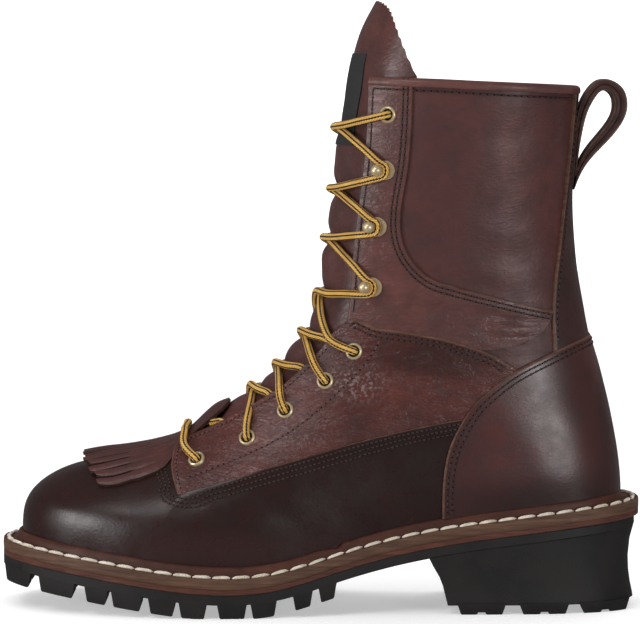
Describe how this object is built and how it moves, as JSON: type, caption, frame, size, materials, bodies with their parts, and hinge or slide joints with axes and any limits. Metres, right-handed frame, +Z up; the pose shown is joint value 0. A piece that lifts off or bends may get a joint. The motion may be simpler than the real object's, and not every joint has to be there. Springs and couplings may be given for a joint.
{
  "type": "lace-up logger boot",
  "caption": "Brown leather lace-up work boot with a stitched welt, fringed flap, ball hooks, pull loop and a lugged rubber sole with a tall heel.",
  "frame": {"origin": "centre of the overall box, on the floor that the boot stands on", "axes": "-X to the toe, +X to the heel, -Y to the outer side of a left foot, +Z up"},
  "size_m": [0.306, 0.1138, 0.2892],
  "materials": {
    "leather": "oiled full grain, satin",
    "rubber": "matte moulded",
    "welt_leather": "stained cut edge",
    "midsole_leather": "stained cut edge",
    "insole_leather": "matte",
    "brass": "polished",
    "lace_cord": "round braid"
  },
  "bodies": {
    "root": {"outsole": "rubber", "midsole": "midsole_leather", "welt": "welt_leather", "insole": "insole_leather", "upper": "leather", "heel_counter": "leather", "tongue": "leather", "kiltie": "leather", "pull_loop": "leather", "eyelet_outer_1": "brass", "eyelet_outer_2": "brass", "eyelet_outer_3": "brass", "eyelet_outer_4": "brass", "eyelet_outer_5": "brass", "eyelet_outer_6": "brass", "eyelet_inner_1": "brass", "eyelet_inner_2": "brass", "eyelet_inner_3": "brass", "eyelet_inner_4": "brass", "eyelet_inner_5": "brass", "eyelet_inner_6": "brass", "hook_outer_1": "brass", "hook_outer_2": "brass", "hook_outer_3": "brass", "hook_inner_1": "brass", "hook_inner_2": "brass", "hook_inner_3": "brass", "lace_bar": "lace_cord", "lace_crossing_1": "lace_cord", "lace_crossing_2": "lace_cord", "lace_crossing_3": "lace_cord", "lace_crossing_4": "lace_cord", "lace_hook_run": "lace_cord"}
  },
  "joints": []
}
